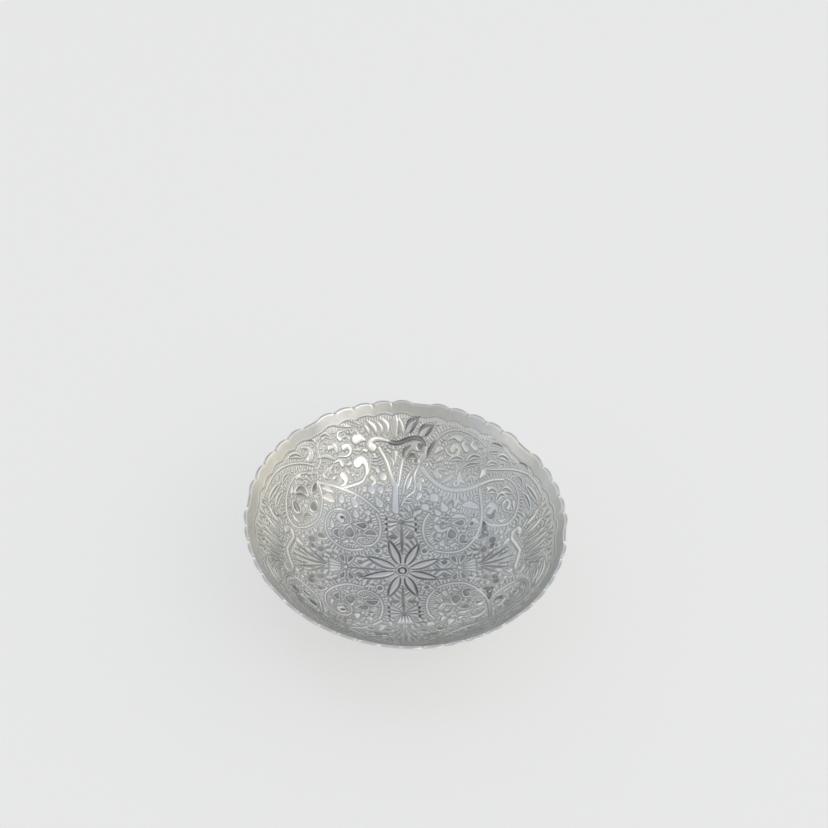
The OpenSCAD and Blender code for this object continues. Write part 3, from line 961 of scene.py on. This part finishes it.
def silver(name, bright, rough, wear=0.5, dark=None):
    """Silver plate, toned by handling and finely scratched; tarnish is left dark where it is chased, and
    painted shade is laid on in the same dark.
    """
    mat = bpy.data.materials.new(name)
    mat.use_nodes = True
    tree = mat.node_tree
    place = put(tree, "TexCoord", {})["Object"]

    def noise(scale, detail, rough_by=0.5, at=place):
        inputs = {"Scale": scale, "Detail": detail, "Roughness": rough_by, "Vector": at}
        return put(tree, "TexNoise", inputs)["Fac"]

    def scratches(scale, stretch):
        inputs = {"Scale": stretch, "Rotation": (0.4, 0.7, 0.9), "Vector": place}
        return noise(scale, 2, 0.5, put(tree, "Mapping", inputs)["Vector"])

    toned = tuple(c * k for c, k in zip(bright, (0.86, 0.85, 0.8)))
    colour = mix(tree, span(tree, noise(70, 4), 0.42, 0.66, 0, wear), bright, toned)
    specks = span(tree, noise(900, 3, 0.6), 0.6, 0.74, 0, 0.35 * wear)
    colour = mix(tree, specks, colour, tuple(c * 0.6 for c in toned))
    roughness = span(tree, noise(240, 4), 0.35, 0.7, rough - 0.04, rough + 0.06)
    roughness = plus(tree, roughness, specks, 0.3)
    if dark:
        # the stored tone is tarnish and painted shade together
        tarnish_and_shade = put(tree, "Attribute", {}, attribute_name="tarnish_and_shade")["Fac"]
        ground = put(tree, "Attribute", {}, attribute_name="ground")["Fac"]
        tarnish_and_shade = math_node(tree, "MULTIPLY", tarnish_and_shade, span(tree, noise(130, 3), 0.3, 0.7, 0.72, 1))
        colour = mix(tree, tarnish_and_shade, colour, dark)
        roughness = plus(tree, plus(tree, roughness, ground, 0.13), tarnish_and_shade, 0.15)
    scratch = math_node(tree, "ADD", scratches(1800, (0.08, 1, 1)), scratches(1500, (1, 0.07, 1)))
    bump = {"Strength": 0.28, "Distance": 0.0003, "Height": plus(tree, noise(300, 3), scratch, 0.1)}
    normal = put(tree, "Bump", bump)["Normal"]
    feed(tree, tree.nodes["Principled BSDF"],
         {"Metallic": 1, "Base Color": colour, "Roughness": roughness, "Normal": normal})
    return mat


def finished(obj, material, node):
    """Gives a piece its finish, hangs it on the root body and hides the model's part that it stands for."""
    obj.data.materials.append(material)
    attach(obj, "root")
    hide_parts(node)
    obj.select_set(False)


bowl_silver = silver("bowl_silver", (0.83, 0.83, 0.81), 0.22, dark=(0.11, 0.112, 0.115))
foot_silver = silver("foot_silver", (0.81, 0.81, 0.79), 0.28, wear=0.8)
dull_solder = silver("dull_solder", (0.7, 0.7, 0.68), 0.42, wear=1)

for piece in chase() + [bowl_sheet()]:
    finished(piece, bowl_silver, "bowl_shell")
finished(foot(), foot_silver, "foot_ring")
finished(solder(), dull_solder, "solder_seam")


# Camera, fitted to the lip's outline in the photograph

FOCAL_PX, PICTURE_PX, SENSOR_W = 1790, 828, 36
TILT, ROLL, SPIN = math.radians(46.334), math.radians(4.393), math.radians(5.2)
# the lip's middle, to the camera's right, down and forward
LIP_FROM_CAMERA = Vector((-2.628, 36.065, 630.47))


def place_camera():
    """The photograph's view."""
    up = Vector((math.sin(ROLL) * math.cos(TILT), -math.cos(ROLL) * math.cos(TILT), -math.sin(TILT)))
    away = (Vector((0, 0, 1)) - up * up.z).normalized()
    right = away.cross(up)
    x = right * math.cos(SPIN) + away * math.sin(SPIN)
    y = away * math.cos(SPIN) - right * math.sin(SPIN)
    to_bowl = Matrix((x, y, up))
    place = to_bowl @ (up * LIP_Z - LIP_FROM_CAMERA) * MM
    turn = to_bowl @ Matrix.Diagonal((1, -1, -1))
    data = bpy.data.cameras.new("camera")
    data.sensor_width = SENSOR_W
    data.lens = SENSOR_W * FOCAL_PX / PICTURE_PX
    camera = added("camera", data)
    camera.matrix_world = Matrix.Translation(place) @ turn.to_4x4()
    bpy.context.scene.camera = camera


place_camera()


# Floor, world and lamp

FLOOR_SIZE = 6
PAPER, PAPER_SEEN, SEEN_SHARE = (0.84, 0.84, 0.83), (0.97, 0.97, 0.96), 0.5
ROOM, ROOM_SEEN = (0.84, 0.84, 0.82), (0.77, 0.785, 0.785)
# patches laid over the room in order: azimuth and elevation, spread in degrees, and tone
PATCHES = (
    ((0, 90), 46, (0.64, 0.705, 0.785)),  # cool ceiling
    ((-100, 42), 42, (0.56, 0.625, 0.695)),  # cool shade, high on the left
    ((176, 34), 44, (0.6, 0.6, 0.575)),  # shade behind the camera, in two
    ((178, 24), 26, (0.57, 0.57, 0.55)),
    ((0, 6), 42, (1.08, 1.08, 1.06)),  # light wall beyond the bowl
    ((137, 39), 29, (1.06, 1.03, 0.94)),  # warm light, behind on the right
    ((-107, 16), 20, (1.05, 1.03, 0.97)),  # warm light, low on the left
    ((84, 10), 27, (1.19, 1.14, 1)),  # warm light, low on the right
    ((118, 15), 17, (0.6, 0.61, 0.62)),  # shade between the two on the right
    ((3, 48), 30, (0.49, 0.497, 0.53)),  # shade above the light wall
)
PATCH_CORE = 0.45            # share of its spread over which a patch is even


def floor_paper():
    """Pale paper, which the camera and the silver see a little whiter than it lights."""
    mat = bpy.data.materials.new("floor_paper")
    mat.use_nodes = True
    tree = mat.node_tree
    paper = tree.nodes["Principled BSDF"]
    feed(tree, paper, {"Base Color": PAPER, "Roughness": 0.9})
    white = put(tree, "Emission", {"Color": PAPER_SEEN})["Emission"]
    rays = put(tree, "LightPath", {})
    seen = rays["Is Camera Ray"]
    for kind in ("Is Glossy Ray", "Is Transmission Ray"):
        seen = math_node(tree, "MAXIMUM", seen, rays[kind])
    seen = math_node(tree, "MULTIPLY", seen, SEEN_SHARE)
    blend = put(tree, "MixShader", {"Fac": seen, 1: paper.outputs["BSDF"], 2: white})["Shader"]
    feed(tree, tree.nodes["Material Output"], {"Surface": blend})
    return mat


bpy.ops.mesh.primitive_plane_add(size=FLOOR_SIZE, location=(0, 0, 0))
floor = bpy.context.object
floor.name = "floor"
floor.data.materials.append(floor_paper())
floor.select_set(False)


def toward(azimuth, elevation):
    """Direction at an azimuth clockwise from +Y and an elevation, both in degrees."""
    a, e = math.radians(azimuth), math.radians(elevation)
    return Vector((math.sin(a) * math.cos(e), math.cos(a) * math.cos(e), math.sin(e)))


def studio():
    """A soft room that the silver reflects; the camera sees it in the tone of the paper."""
    world = bpy.data.worlds.new("studio")
    bpy.context.scene.world = world
    world.use_nodes = True
    tree = world.node_tree
    place = put(tree, "TexCoord", {})["Generated"]
    colour = ROOM
    for (azimuth, elevation), spread, tone in PATCHES:
        inputs = {0: place, 1: toward(azimuth, elevation)}
        facing = put(tree, "VectorMath", inputs, operation="DOT_PRODUCT")["Value"]
        edge, core = math.cos(math.radians(spread)), math.cos(math.radians(spread * PATCH_CORE))
        colour = mix(tree, span(tree, facing, edge, core, 0, 1, "SMOOTHSTEP"), colour, tone)
    seen = put(tree, "LightPath", {})["Is Camera Ray"]
    colour = mix(tree, seen, colour, ROOM_SEEN)
    feed(tree, tree.nodes["Background"], {"Color": colour, "Strength": 1})


studio()


def softbox(name, place, aim, size, power):
    """A square studio lamp aimed at a point."""
    data = bpy.data.lights.new(name, "AREA")
    data.shape = "SQUARE"
    data.size = size
    data.energy = power
    lamp = added(name, data)
    lamp.location = place
    lamp.rotation_euler = (Vector(aim) - Vector(place)).to_track_quat("-Z", "Y").to_euler()


softbox("key", toward(134, 35) * 1.1, (0, 0, 0.02), 0.6, 0.7)

bpy.context.scene.view_settings.view_transform = "Standard"
